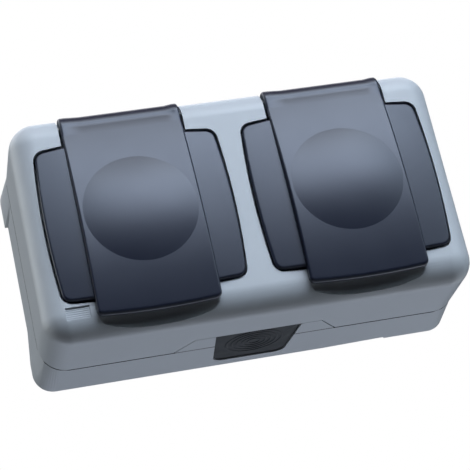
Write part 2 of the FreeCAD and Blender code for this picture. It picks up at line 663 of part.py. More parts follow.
def prism_across(name, half, points):
    """Prism across the width from corners given as (depth, height)."""
    body = doc.addObject("PartDesign::Body", name)
    outline = polygon(new_sketch(body, "YZ_Plane"), [(f"-({d})", z) for d, z in points])
    pad(body, outline, f"2 * ({half})", midplane=True)
    return body


def housing_ring_below():
    """The part of the cover's skirt that reaches into the box."""
    end = "parting_depth + 2 * over"
    ring_below = cut("skirt_below",
                     housing_prism("skirt_below_outer", "shell_wall + fit_gap", (SEAL_FRONT, "parting_depth + over")),
                     housing_prism("skirt_below_inner", SKIRT_INNER, (f"{SEAL_FRONT} - over", end)))
    return cut("skirt_below_open", ring_below, seal_break("skirt_below_break", SEAL_FRONT, end))


def panel_ribs():
    """Level ribs on the floor of the cover's small panel."""
    count = int(size("panel_ribs"))
    ribs = []
    for i in range(count):
        z = f"-panel_z + panel_height * ({i + 1} / (panel_ribs + 1) - 0.5)"
        ribs.append(block(f"panel_rib_{i}", ("-panel_x - panel_width / 2", "-panel_x + panel_width / 2"),
                          ("cover_depth - panel_sink - panel_rib", "cover_depth - panel_sink + panel_rib / 2"),
                          (f"{z} - panel_rib / 2", f"{z} + panel_rib / 2")))
    return ribs


def make_cover_seal():
    """Rubber strip between the box's ledge and the cover's skirt."""
    strip_ring = cut("seal_ring",
                     housing_prism("seal_outer", "shell_wall + fit_gap", ("ledge_depth", SEAL_FRONT)),
                     housing_prism("seal_inner", SKIRT_INNER, ("ledge_depth - over", f"{SEAL_FRONT} + over")))
    return finish(cut("cover_seal", strip_ring, seal_break("seal_gap", "ledge_depth - over", f"{SEAL_FRONT} + over")),
                  "cover_seal")


def screw(name, head_radius, head_height, shank_radius, x, z, seat, length):
    """Slotted screw along the depth, its head in front of the seat."""
    solid = turned(name, [
        (f"{seat} - ({length})", "0"), (f"{seat} + {head_height}", "0"),
        (f"{seat} + {head_height}", head_radius), (seat, head_radius),
        (seat, shank_radius), (f"{seat} - ({length})", shank_radius),
    ], x, z)
    slot = block(f"{name}_slot", (f"{x} - ({head_radius}) - over", f"{x} + {head_radius} + over"),
                 (f"{seat} + {head_height} - screw_slot_cut", f"{seat} + {head_height} + over"),
                 (f"{z} - screw_slot", f"{z} + screw_slot"))
    return cut(f"{name}_solid", solid, slot)


def group(label, items):
    """Several like solids in one piece file."""
    item = doc.addObject("Part::Compound", label)
    item.Links = items
    return finish(item, label)


def make_cover_screws():
    """Four screws that hold the cover, under the lids."""
    screws = []
    for side, sign in SIDES:
        for level, up in (("upper", 1), ("lower", -1)):
            screws.append(screw(
                f"cover_screw_{side}_{level}", "cover_screw_head", "cover_screw_head_height", "cover_screw_radius",
                f"{sign} * (gang_pitch / 2 + cover_screw_x)", f"{up} * cover_screw_z",
                HEAD_SEAT, "cover_screw_length"))
    return group("cover_screws", screws)


def make_cable_membrane():
    """Rubber membrane in the cable entry, with moulded rings to cut it open along."""
    plate = entry_prism("membrane_plate", "-membrane_gap", "-box_bottom + membrane_inset",
                        "-box_bottom + shell_wall + membrane_gap")
    flange = entry_prism("membrane_flange", "membrane_flange", "-box_bottom + shell_wall + membrane_gap",
                         "-box_bottom + shell_wall + membrane_back")
    rings = []
    count = int((size("entry_half") - size("ring_first")) / size("ring_step")) - 1
    for i in range(count):
        torus = doc.addObject("Part::Torus", f"membrane_ring_{i}")
        torus.setExpression("Radius1", link(f"ring_first + {i} * ring_step"))
        torus.setExpression("Radius2", link("ring_bead"))
        torus.setExpression("Placement.Base.y", link("-ring_depth"))
        torus.setExpression("Placement.Base.z", link("-box_bottom + membrane_inset"))
        rings.append(torus)
    return finish(fuse("cable_membrane", plate, flange, *rings), "cable_membrane")


# Lids

def strap_profile(body):
    """Side view of the strap: crowned front, a flat band that runs onto the barrel, and its back."""
    sketch = new_sketch(body, "YZ_Plane")
    foot = "-strap_bottom - 2 * over"
    crown = ("strap_crown - strap_depth", "-strap_crown_drop")
    front = {z: f"{crown[0]} - sqrt(strap_crown ^ 2 - ({z} + strap_crown_drop) ^ 2)" for z in ("knee_height", foot)}
    knee = (front["knee_height"], "knee_height")
    toe = (front[foot], foot)
    pin = ("-pin_depth", "pin_height")
    rear = ("barrel_radius - pin_depth", "pin_height")
    inner = (f"-({LIP_BACK})", "window_top - lid_gap / 2")
    corner = (rear[0], inner[1])
    heel = (inner[0], foot)

    def point(pair):
        return Vector(size(pair[0]), size(pair[1]), 0)

    start, centre, crown_centre = point(knee), point(pin), point(crown)
    barrel = size("barrel_radius")
    sight = centre - start
    turn = math.asin(barrel / sight.Length)
    run = math.sqrt(sight.Length ** 2 - barrel ** 2)
    bearing = math.atan2(sight.y, sight.x) + turn
    touch = start + Vector(math.cos(bearing), math.sin(bearing), 0) * run
    up = Vector(0, 0, 1)
    rise = [math.atan2(p.y - crown_centre.y, p.x - crown_centre.x) % (2 * math.pi) for p in (start, point(toe))]
    touch_angle = math.atan2(touch.y - centre.y, touch.x - centre.x)
    sketch.addGeometry(Part.LineSegment(point(heel), point(toe)), False)
    sketch.addGeometry(Part.ArcOfCircle(Part.Circle(crown_centre, up, size("strap_crown")), *rise), False)
    sketch.addGeometry(Part.LineSegment(start, touch), False)
    sketch.addGeometry(Part.ArcOfCircle(Part.Circle(centre, up, barrel), 0, touch_angle), False)
    for a, b in ((rear, corner), (corner, inner), (inner, heel)):
        sketch.addGeometry(Part.LineSegment(point(a), point(b)), False)
    joins = ((0, 2, 1, 2), (1, 1, 2, 1), (3, 1, 4, 1), (4, 2, 5, 1), (5, 2, 6, 1), (6, 2, 0, 1))
    for first, end, second, begin in joins:
        sketch.addConstraint(Sketcher.Constraint("Coincident", first, end, second, begin))
    sketch.addConstraint(Sketcher.Constraint("Tangent", 2, 2, 3, 2))
    for index, end, spot in ((0, 1, heel), (0, 2, toe), (1, 3, crown), (3, 3, pin), (4, 1, rear), (5, 1, corner),
                             (6, 1, inner)):
        pin_point(sketch, index, end, spot)
    number = sketch.addConstraint(Sketcher.Constraint("DistanceY", -1, 1, 2, 1, start.y))
    sketch.setExpression(f"Constraints[{number}]", link(knee[1]))
    return sketch


def bounds_strap_front(edge):
    """Whether an edge borders the strap's front, its band or the top of its barrel."""
    box = edge.BoundBox
    if box.XLength < NEAR:
        return min(box.YLength, box.ZLength) > NEAR and -box.YMin > size("pin_depth")
    return -box.YMax > size(LIP_BACK) + NEAR and box.ZMax < 0


def lip_radii(edge):
    """Radii at both ends of a strap edge: larger along the lip, growing round the lip's corners."""
    small, large = size("strap_round"), size("lip_round")
    if edge.BoundBox.XLength < NEAR:
        return small, small
    if edge.BoundBox.XLength > size("strap_half"):
        return large, large
    ends = [edge.valueAt(edge.FirstParameter).z, edge.valueAt(edge.LastParameter).z]
    return tuple(small if z == max(ends) else large for z in ends)


def make_lid(side, centre):
    """Lid: raised strap with a dome and a hinge barrel, two lower wings, a rim and a seat for its ring."""
    strap_body = doc.addObject("PartDesign::Body", f"strap_{side}")
    pad(strap_body, strap_profile(strap_body), "2 * strap_half", midplane=True)
    doc.recompute()
    bow = rod(f"strap_bow_{side}", "strap_bow", "0", "strap_bow - strap_bottom",
              ("pin_depth - 2 * barrel_radius", "strap_depth + over"))
    strap = rounded(f"strap_corners_{side}", common(f"strap_cut_{side}", strap_body, bow), "strap_corner",
                    lambda e: runs_along_depth(e) and e.BoundBox.ZMax < 0)
    strap = rounded(f"strap_round_{side}", strap, "strap_round", bounds_strap_front)
    strap.Edges = [(index, *lip_radii(strap.Base.Shape.Edges[index - 1])) for index, _, _ in strap.Edges]
    heel, behind = "window_top - lid_gap / 2", "pin_depth - barrel_radius - over"
    under = prism_across(f"strap_under_{side}", "strap_half + over", [
        (behind, "pin_height"), ("pin_depth", "pin_height"), ("pin_depth", "pin_height - barrel_radius"),
        (LIP_BACK, heel), (LIP_BACK, f"{heel} - over"), (behind, f"{heel} - over")])
    barrel = axle(f"barrel_{side}", "barrel_radius", ("strap_round - strap_half", "strap_half - strap_round"),
                  "pin_depth", "pin_height")
    strap = fuse(f"strap_shape_{side}", cut(f"strap_room_{side}", strap, under), barrel)
    crown = ellipsoid(f"crown_{side}", ("sqrt(wing_bulge * wing_crown_upright)", "sqrt(wing_bulge * wing_crown)",
                                        "wing_bulge"), "0", "wing_crown_depth - wing_bulge", "-strap_crown_drop")
    plate = common(f"wing_plate_{side}",
                   window_prism(f"wing_{side}", "lid_gap", ("wing_back", "wing_crown_depth + over")), crown)
    back = size("wing_back + wing_round / 2")
    wings = rounded(f"wings_{side}", plate, "wing_round", lambda e: -e.BoundBox.YMax > back)
    rim = cut(f"lid_rim_{side}",
              window_prism(f"lid_rim_outer_{side}", RIM_OUTER, ("lid_rim_depth", "wing_back + fit_gap")),
              window_prism(f"lid_rim_inner_{side}", RIM_INNER, ("lid_rim_depth - over", "wing_back + over")))
    across = "(dome_height / dome_radius ^ 2)"
    upright = f"({across} + 1 / (2 * strap_crown))"
    drop = f"(strap_crown_drop / (2 * strap_crown * {upright}))"
    dome_depth = f"(strap_depth - strap_crown_drop ^ 2 / (2 * strap_crown) + dome_height + {upright} * {drop} ^ 2)"
    bulge = ellipsoid(f"dome_bulge_{side}", (f"sqrt(wing_bulge / (2 * {upright}))", f"sqrt(wing_bulge / (2 * {across}))",
                                             "wing_bulge"), "0", f"{dome_depth} - wing_bulge", f"-{drop}")
    dome = common(f"dome_{side}", bulge, rod(f"dome_edge_{side}", "dome_radius", "0", "0",
                                             (LIP_BACK, "strap_depth + dome_height + over")))
    reach = ("lid_wall - strap_half", "strap_half - lid_wall")
    hollow = common(f"strap_hollow_{side}",
                    axle(f"hollow_crown_{side}", "strap_crown - lid_wall", reach, "strap_depth - strap_crown",
                         "-strap_crown_drop"),
                    block(f"hollow_room_{side}", reach, ("lid_rim_depth - over", "strap_depth"),
                          (f"{RIM_INNER} + lid_wall - window_bottom", f"window_top - ({RIM_INNER}) - lid_wall")))
    rib = ring(f"seal_rib_tube_{side}", "lid_seal_inner - seal_rib_wall", "lid_seal_outer + seal_rib_wall",
               ("wing_back", "strap_depth"))
    rib = common(f"seal_rib_{side}", rib, hollow)
    shell = cut(f"lid_shell_{side}", fuse(f"lid_outer_{side}", strap, wings, rim, dome), hollow)
    coil = "pin_radius + coil_gap + 2 * wire"
    bore = axle(f"lid_bore_{side}", "pin_radius + pin_run", ("-strap_half - over", "strap_half + over"),
                "pin_depth", "pin_height")
    pocket = axle(f"spring_pocket_{side}", f"{coil} + coil_gap", ("-spring_pocket", "spring_pocket"),
                  "pin_depth", "pin_height")
    mouth = block(f"spring_mouth_{side}", ("-spring_pocket", "spring_pocket"),
                  ("pin_depth - barrel_radius - over", "pin_depth"),
                  ("pin_height - barrel_radius - over", f"pin_height + {coil} + coil_gap"))
    lid = cut(f"lid_cut_{side}", fuse(f"lid_body_{side}", shell, rib), bore, pocket, mouth)
    return finish(place(lid, centre), f"lid_{side}")


def make_lid_seal(side, centre):
    """Rubber ring in the lid that closes on the well's rim."""
    return finish(place(cut(f"lid_seal_solid_{side}",
                            rod(f"lid_seal_disc_{side}", "lid_seal_outer", "0", "0",
                                ("rim_depth + lid_seal_gap", "wing_back")),
                            rod(f"lid_seal_hole_{side}", "lid_seal_inner", "0", "0",
                                ("rim_depth", "wing_back + over"))), centre), f"lid_seal_{side}")


def make_hinge_pin(side, centre):
    """Steel pin of a lid, held in the cover's cheeks."""
    return finish(axle(f"hinge_pin_{side}", "pin_radius", (f"{centre} - ({HINGE_HALF})", f"{centre} + {HINGE_HALF}"),
                       "pin_depth", "pin_height"), f"hinge_pin_{side}")


def make_lid_spring(side, centre):
    """Torsion spring round the pin; its turns are wound by formula from the sheet's sizes."""
    wire, turns = size("wire"), size("coil_turns")
    mean = size("pin_radius + coil_gap + wire")
    pitch = 2 * wire * size("coil_spacing")
    height = pitch * turns
    path = Part.makeHelix(pitch, height, mean)
    slope = Vector(0, 1, pitch / (2 * math.pi * mean))
    profile = Part.Wire(Part.Circle(Vector(mean, 0, 0), slope, wire).toShape())
    coil = Part.Wire(path.Edges).makePipeShell([profile], True, True)
    reach = size(SLOT_RADIUS) - 2 * wire
    tail = Part.makeCylinder(wire, math.sqrt(reach ** 2 - mean ** 2), Vector(mean, 0, 0), Vector(0, -1, 0))
    shape = coil.fuse(tail)
    shape.rotate(Vector(), Vector(0, 1, 0), 90)
    shape.rotate(Vector(), Vector(1, 0, 0), 180)
    item = doc.addObject("Part::Feature", f"lid_spring_{side}")
    item.Shape = shape
    item.setExpression("Placement.Base.x", link(f"{centre} - wire * coil_spacing * coil_turns"))
    item.setExpression("Placement.Base.y", link("-pin_depth"))
    item.setExpression("Placement.Base.z", link("pin_height"))
    return finish(item, f"lid_spring_{side}")


# Inserts of a gang

def make_socket_face(side, centre):
    """Round well for the plug, with flange, guide ribs, pin holes and slots for the earth clips."""
    well_outer = "well_radius + well_wall"
    shell = turned(f"well_{side}", [
        ("rim_depth", "well_radius"), ("rim_depth", "collar_radius"), (FLANGE_FRONT, "collar_radius"),
        (FLANGE_FRONT, "face_flange_radius"), (f"{FLANGE_FRONT} - face_flange_wall", "face_flange_radius"),
        (f"{FLANGE_FRONT} - face_flange_wall", well_outer), (WELL_BACK, well_outer), (WELL_BACK, "0"),
        (WELL_FLOOR, "0"), (WELL_FLOOR, "well_radius"),
    ])
    ribs, holes = [], []
    for name, way in (("a", -1), ("b", 1)):
        x = sorted((f"{way} * (well_radius - guide_height)", f"{way} * (well_radius + well_wall / 2)"), key=size)
        ribs.append(block(f"guide_{side}_{name}", tuple(x), (f"{WELL_FLOOR} - well_floor / 2", "rim_depth - well_wall"),
                          ("-guide_half", "guide_half")))
        holes.append(rod(f"pin_way_{side}_{name}", "contact_hole", f"{way} * contact_pitch / 2", "0",
                         (f"{WELL_BACK} - over", f"{WELL_FLOOR} + over")))
        z = sorted((f"{way} * (well_radius - strip)", f"{way} * (well_radius + well_wall + 2 * clip_slot + strip)"),
                   key=size)
        holes.append(block(f"clip_way_{side}_{name}", ("-clip_half - clip_slot", "clip_half + clip_slot"),
                           (WELL_BACK, "rim_depth - clip_top + clip_slot"), tuple(z)))
    holes.append(rod(f"face_screw_way_{side}", "screw_radius + fit_gap", "0", "0",
                     (f"{WELL_BACK} - over", f"{WELL_FLOOR} + over")))
    holes.append(rod(f"face_screw_seat_{side}", "screw_head + fit_gap", "0", "0",
                     (f"{WELL_FLOOR} - screw_head_height", f"{WELL_FLOOR} + over")))
    return finish(place(cut(f"socket_face_{side}", fuse(f"well_ribbed_{side}", shell, *ribs), *holes), centre),
                  f"socket_face_{side}")


def make_face_seal(side, centre):
    """Rubber ring between the well's flange and the cover."""
    return finish(place(cut(f"face_seal_solid_{side}",
                            rod(f"face_seal_disc_{side}", "face_flange_radius", "0", "0",
                                (FLANGE_FRONT, "recess_depth - recess_wall")),
                            rod(f"face_seal_hole_{side}", "collar_radius + collar_gap", "0", "0",
                                (f"{FLANGE_FRONT} - over", "recess_depth"))), centre), f"face_seal_{side}")


def make_contact_carrier(side, centre):
    """Moulded block behind the well, with a cell for each contact and seats for its screws."""
    low, mid = "carrier_half - carrier_chamfer", "carrier_half"
    points = [(f"-({low})", f"-({mid})"), (low, f"-({mid})"), (mid, f"-({low})"), (mid, low),
              (low, mid), (f"-({low})", mid), (f"-({mid})", low), (f"-({mid})", f"-({low})")]
    solid = prism(f"carrier_{side}", points, ("carrier_back", CARRIER_FRONT))
    holes = [rod(f"carrier_centre_{side}", "screw_radius + screw_fit", "0", "0",
                 (f"{WELL_FLOOR} - screw_head_height - centre_screw_length - over", f"{CARRIER_FRONT} + over"))]
    for name, way in (("a", -1), ("b", 1)):
        x = sorted((f"{way} * cell_inner", f"{way} * cell_outer"), key=size)
        holes.append(block(f"cell_{side}_{name}", tuple(x), ("cell_floor", f"{CARRIER_FRONT} + over"),
                           ("-cell_bottom", "cell_top")))
        at = f"{way} * terminal_x"
        holes.append(post(f"wire_way_{side}_{name}", "wire_hole + fit_gap", at,
                          "cell_floor + brass_sheet + terminal_height / 2", ("-carrier_half - over", "-terminal_z")))
        at = (f"{way} * carrier_screw_x", "carrier_screw_z")
        holes.append(rod(f"carrier_way_{side}_{name}", "screw_radius + fit_gap", *at,
                         ("carrier_back - over", f"{CARRIER_FRONT} + over")))
        holes.append(rod(f"carrier_seat_{side}_{name}", "screw_head + 2 * fit_gap", *at,
                         ("carrier_back + carrier_screw_seat", f"{CARRIER_FRONT} + over")))
    return finish(place(cut(f"contact_carrier_{side}", solid, *holes), centre), f"contact_carrier_{side}")


def make_contact(kind, way, side, centre):
    """Brass sleeve for one plug pin, on a strip with a terminal block."""
    name = f"{kind}_{side}"
    at = f"{way} * contact_pitch / 2"
    sleeve = cut(f"{name}_sleeve",
                 rod(f"{name}_tube", "sleeve_outer", at, "0", ("cell_floor", f"{CARRIER_FRONT} - sleeve_drop")),
                 rod(f"{name}_bore", "sleeve_inner", at, "0", ("cell_floor + brass_sheet", CARRIER_FRONT)),
                 block(f"{name}_slit", (f"{at} - screw_slot", f"{at} + screw_slot"),
                       ("cell_floor + slit_start", CARRIER_FRONT), ("-sleeve_outer - over", "sleeve_outer + over")))
    block_x = (f"{way} * terminal_x - terminal_half", f"{way} * terminal_x + terminal_half")
    block_z = ("-terminal_z - terminal_half", "-terminal_z + terminal_half")
    terminal_front = "cell_floor + brass_sheet + terminal_height"
    strip_x = sorted((f"{way} * (contact_pitch / 2 - sleeve_inner)", f"{way} * (terminal_x + terminal_half)"), key=size)
    strip = block(f"{name}_strip", tuple(strip_x), ("cell_floor", "cell_floor + brass_sheet"),
                  (block_z[0], "sleeve_inner"))
    terminal = cut(f"{name}_terminal",
                   block(f"{name}_block", block_x, ("cell_floor + brass_sheet / 2", terminal_front), block_z),
                   post(f"{name}_wire_hole", "wire_hole", f"{way} * terminal_x",
                        "cell_floor + brass_sheet + terminal_height / 2",
                        (f"{block_z[0]} - over", f"{block_z[1]} + over")),
                   rod(f"{name}_screw_hole", "screw_radius + screw_fit", f"{way} * terminal_x", "-terminal_z",
                       ("cell_floor + brass_sheet + terminal_height / 2", f"{terminal_front} + over")))
    return finish(place(fuse(name, sleeve, strip, terminal), centre), name)


def make_earth_strap(side, centre):
    """Bent spring strip across the well's back, with a clip at the top and bottom and a terminal tab."""
    arm_in = "well_radius + well_wall + clip_slot"
    arm_out = f"{arm_in} + strip"
    front = "rim_depth - clip_top"
    tip = "well_radius - clip_reach"
    tail = "rim_depth - clip_tail"
    belly = f"({front} + {tail}) / 2 + strip"
    upper = [
        (WELL_BACK, arm_in), (f"{front} - strip", arm_in), (f"{front} - strip", f"{tip} + clip_lead + strip"),
        (belly, f"{tip} + strip"), (tail, f"{tip} + clip_curl + strip"), (tail, f"{tip} + clip_curl"), (belly, tip),
        (front, f"{tip} + clip_lead"), (front, arm_out), (f"{WELL_BACK} - strip", arm_out),
    ]
    tab_end = f"{arm_out} + earth_tab"
    lower = [(d, f"-({r})") for d, r in upper[::-1]]
    outline = upper + [(f"{WELL_BACK} - strip", f"-({tab_end})"), (WELL_BACK, f"-({tab_end})"),
                       (WELL_BACK, f"-({arm_out})")] + lower[1:]
    body = prism_across(f"strip_{side}", "clip_half", outline)
    terminal_z = f"-({tab_end}) + terminal_half"
    terminal = block(f"earth_block_{side}", ("-clip_half", "clip_half"),
                     (f"{CARRIER_FRONT} - terminal_height", CARRIER_FRONT),
                     (f"{terminal_z} - terminal_half", f"{terminal_z} + terminal_half"))
    holes = [
        rod(f"earth_centre_{side}", "screw_radius + fit_gap", "0", "0",
            (f"{CARRIER_FRONT} - over", f"{WELL_BACK} + over")),
        rod(f"earth_screw_hole_{side}", "screw_radius + screw_fit", "0", terminal_z,
            (f"{CARRIER_FRONT} - terminal_height / 2", f"{WELL_BACK} + over")),
        post(f"earth_wire_hole_{side}", "wire_hole", "0", f"{CARRIER_FRONT} - terminal_height / 2",
             (f"{terminal_z} - terminal_half - over", f"{terminal_z} + terminal_half + over")),
    ]
    return finish(place(cut(f"earth_strap_{side}", fuse(f"earth_body_{side}", body, terminal), *holes), centre),
                  f"earth_strap_{side}")


def small_screw(name, x, z, seat, length):
    """Small machine screw along the depth."""
    return screw(name, "screw_head", "screw_head_height", "screw_radius", x, z, seat, length)


def make_gang_screws(side, centre):
    """Terminal screws, centre screw and carrier screws of a gang."""
    terminal_seat = "cell_floor + brass_sheet + terminal_height"
    earth_z = "-(well_radius + well_wall + clip_slot + strip + earth_tab) + terminal_half"
    spots = [("live", f"{centre} - terminal_x", "-terminal_z", terminal_seat),
             ("neutral", f"{centre} + terminal_x", "-terminal_z", terminal_seat),
             ("earth", centre, earth_z, WELL_BACK)]
    group(f"terminal_screws_{side}", [
        small_screw(f"{kind}_screw_{side}", x, z, seat, "terminal_screw_length") for kind, x, z, seat in spots])
    finish(small_screw(f"well_screw_{side}", centre, "0", f"{WELL_FLOOR} - screw_head_height", "centre_screw_length"),
           f"centre_screw_{side}")
    group(f"carrier_screws_{side}", [
        small_screw(f"carrier_screw_{side}_{name}", f"{centre} + {way} * carrier_screw_x", "carrier_screw_z",
                    "carrier_back + carrier_screw_seat", "carrier_screw_length")
        for name, way in (("a", -1), ("b", 1))])


def build():
    """Make every piece."""
    make_back_box()
    make_front_cover()
    make_cover_seal()
    make_cover_screws()
    make_cable_membrane()
    for side, sign in SIDES:
        centre = f"({sign} * gang_pitch / 2)"
        make_lid(side, centre)
        make_lid_seal(side, centre)
        make_hinge_pin(side, centre)
        make_lid_spring(side, centre)
        make_socket_face(side, centre)
        make_face_seal(side, centre)
        make_contact_carrier(side, centre)
        make_contact("live_contact", -1, side, centre)
        make_contact("neutral_contact", 1, side, centre)
        make_earth_strap(side, centre)
        make_gang_screws(side, centre)


build()
doc.recompute()
for item in doc.Objects:
    bad = {"Invalid", "Error"} & set(item.State)
    if bad:
        raise RuntimeError(f"{item.Name}: {item.State}")
os.makedirs(OUT, exist_ok=True)
for piece in pieces:
    shape = piece.Shape
    if shape.isNull() or not shape.isValid() or not shape.Solids:
        raise RuntimeError(f"{piece.Label} has no valid shape")
    shape.exportStep(os.path.join(OUT, f"{piece.Label}.step"))
    print(f"{piece.Label:28s} solids {len(shape.Solids)} volume {shape.Volume:10.1f}")
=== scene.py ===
"""Outdoor weatherproof socket outlet with two sprung lids: finishes, fine forms and the studio.

Everything is in metres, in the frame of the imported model: the wall is the plane y = 0, the front
looks along -y, x runs to the right and z up. The lids are shown closed.
"""
import json
import logging
import math
from dataclasses import dataclass
from enum import Enum
from functools import cached_property

import bmesh
import bpy
from mathutils import Euler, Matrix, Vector


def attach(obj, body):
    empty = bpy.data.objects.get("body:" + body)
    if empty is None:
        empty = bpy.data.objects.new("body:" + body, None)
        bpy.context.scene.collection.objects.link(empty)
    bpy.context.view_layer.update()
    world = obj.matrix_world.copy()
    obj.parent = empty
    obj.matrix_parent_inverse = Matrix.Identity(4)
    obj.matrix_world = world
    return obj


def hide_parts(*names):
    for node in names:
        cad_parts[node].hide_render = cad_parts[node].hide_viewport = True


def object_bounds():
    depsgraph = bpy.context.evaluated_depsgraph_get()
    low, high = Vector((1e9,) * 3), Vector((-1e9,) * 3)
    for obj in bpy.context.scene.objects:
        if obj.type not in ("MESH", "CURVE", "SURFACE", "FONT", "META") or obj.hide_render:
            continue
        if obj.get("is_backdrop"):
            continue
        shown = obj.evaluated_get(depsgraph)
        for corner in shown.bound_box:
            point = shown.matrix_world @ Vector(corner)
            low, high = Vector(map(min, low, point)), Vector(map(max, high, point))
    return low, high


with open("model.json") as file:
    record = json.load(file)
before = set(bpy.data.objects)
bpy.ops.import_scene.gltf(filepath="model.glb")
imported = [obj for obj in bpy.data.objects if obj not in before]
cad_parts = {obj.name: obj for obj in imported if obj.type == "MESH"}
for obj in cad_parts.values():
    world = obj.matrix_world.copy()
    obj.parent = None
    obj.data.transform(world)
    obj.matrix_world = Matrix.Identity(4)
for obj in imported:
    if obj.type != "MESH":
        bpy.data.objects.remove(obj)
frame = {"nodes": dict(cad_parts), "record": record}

LOG = logging.getLogger("outlet")
MM = 0.001
HAIR = 0.0001 * MM
PITCH = 71 * MM
MEAN_NOISE = 0.5
Colour = tuple[float, float, float]


class Side(Enum):
    """The two gangs, seen from the front."""

    LEFT = "left"
    RIGHT = "right"

    @property
    def centre(self) -> float:
        """Place of the gang's well along the row."""
        return math.copysign(PITCH / 2, 1 if self is Side.RIGHT else -1)


# Shader maths


class Signal:
    """A shader socket that takes part in Python expressions."""

    def __init__(self, shader: "Shader", socket: bpy.types.NodeSocket) -> None:
        """Hold a socket.

        Args:
            shader: the shader that the socket belongs to.
            socket: an output socket of one of its nodes.
        """
        self.shader = shader
        self.socket = socket

    def combine(self, operation: str, first: object, second: object) -> "Signal":
        """Add a Math node.

        Args:
            operation: the node's operation.
            first: a signal or a number.
            second: a signal or a number.

        Returns:
            The node's result.
        """
        return self.shader.node("ShaderNodeMath", {"operation": operation}, {0: first, 1: second})

    def __add__(self, other: object) -> "Signal":
        """Sum."""
        return self.combine("ADD", self, other)

    __radd__ = __add__

    def __sub__(self, other: object) -> "Signal":
        """Difference."""
        return self.combine("SUBTRACT", self, other)

    def __rsub__(self, other: object) -> "Signal":
        """Reflected difference."""
        return self.combine("SUBTRACT", other, self)

    def __mul__(self, other: object) -> "Signal":
        """Product."""
        return self.combine("MULTIPLY", self, other)

    __rmul__ = __mul__


class Shader:
    """Node tree of a material or of the world."""

    def __init__(self, owner: bpy.types.Material | bpy.types.World) -> None:
        """Start with an empty tree.

        Args:
            owner: what the tree belongs to.
        """
        owner.use_nodes = True
        self.tree = owner.node_tree
        self.tree.nodes.clear()

    def node(self, kind: str, settings: dict[str, object] | None = None,
             inputs: dict[str | int, object] | None = None, output: str | int = 0) -> Signal | None:
        """Add a node.

        Args:
            kind: the node's type.
            settings: its properties; "stops" gives a colour ramp's (position, grey) pairs.
            inputs: a signal or a constant for each named or numbered input.
            output: the name or number of the output that is wanted.

        Returns:
            That output, or None where the node has none.
        """
        item = self.tree.nodes.new(kind)
        for key, value in (settings or {}).items():
            if key == "stops":
                stops = item.color_ramp.elements
                for index, (position, grey) in enumerate(value):
                    stop = stops[index] if index < len(stops) else stops.new(position)
                    stop.position, stop.color = position, (grey, grey, grey, 1.0)
            else:
                setattr(item, key, value)
        for key, value in (inputs or {}).items():
            if isinstance(value, Signal):
                self.tree.links.new(value.socket, item.inputs[key])
            else:
                item.inputs[key].default_value = value
        return Signal(self, item.outputs[output]) if item.outputs else None

    @cached_property
    def place(self) -> Signal:
        """Place on the object, in metres."""
        return self.node("ShaderNodeTexCoord", output="Object")

    def noise(self, cell: float, detail: float = 2.0, stretch: Colour = (1.0, 1.0, 1.0)) -> Signal:
        """Noise whose features are about one cell wide.

        Args:
            cell: the width of a feature in metres.
            detail: how many finer octaves it has.
            stretch: factor on the frequency along each axis.

        Returns:
            The noise, about 0.5 on average.
        """
        spread = self.node("ShaderNodeVectorMath", {"operation": "MULTIPLY"}, {0: self.place, 1: stretch})
        return self.node("ShaderNodeTexNoise", None,
                         {"Vector": spread, "Scale": 1.0 / cell, "Detail": detail})

    def ramp(self, value: Signal, low: float, high: float) -> Signal:
        """Stretch a value, so that low gives 0 and high gives 1.

        Args:
            value: the value.
            low: where the ramp starts.
            high: where it ends.

        Returns:
            The stretched value, held between 0 and 1.
        """
        return self.node("ShaderNodeValToRGB", {"stops": [(low, 0.0), (high, 1.0)]}, {"Fac": value})

    def blend(self, factor: Signal, first: Colour | Signal, second: Colour) -> Signal:
        """Mix two colours.

        Args:
            factor: 0 gives the first colour and 1 the second.
            first: linear red, green and blue, or a signal of a colour.
            second: linear red, green and blue.

        Returns:
            The mixed colour.
        """
        start = first if isinstance(first, Signal) else (*first, 1.0)
        return self.node("ShaderNodeMix", {"data_type": "RGBA"},
                         {0: factor, 6: start, 7: (*second, 1.0)}, output=2)

    def seam(self, depth: float, half: float) -> Signal:
        """A layer that lies parallel to the wall, used as the mask of painted shade.

        Args:
            depth: how far in front of the wall its middle lies.
            half: half its thickness.

        Returns:
            1 inside the layer, 0 outside it.
        """
        across = self.node("ShaderNodeSeparateXYZ", None, {0: self.place}, output="Y")
        return self.node("ShaderNodeMath", {"operation": "COMPARE"}, {0: across, 1: -depth, 2: half})

    def relief(self, height: Signal, depth: float, under: Signal | None = None) -> Signal:
        """Bump from a height.

        Args:
            height: the height, from 0 to 1.
            depth: how deep one unit of it is, in metres.
            under: the normal of a coarser relief below this one.

        Returns:
            The normal.
        """
        below = {"Normal": under} if under else {}
        return self.node("ShaderNodeBump", None, {"Height": height, "Distance": depth, **below})


def scaled(colour: Colour, factor: float) -> Colour:
    """A colour times a factor."""
    return tuple(part * factor for part in colour)


# Finishes


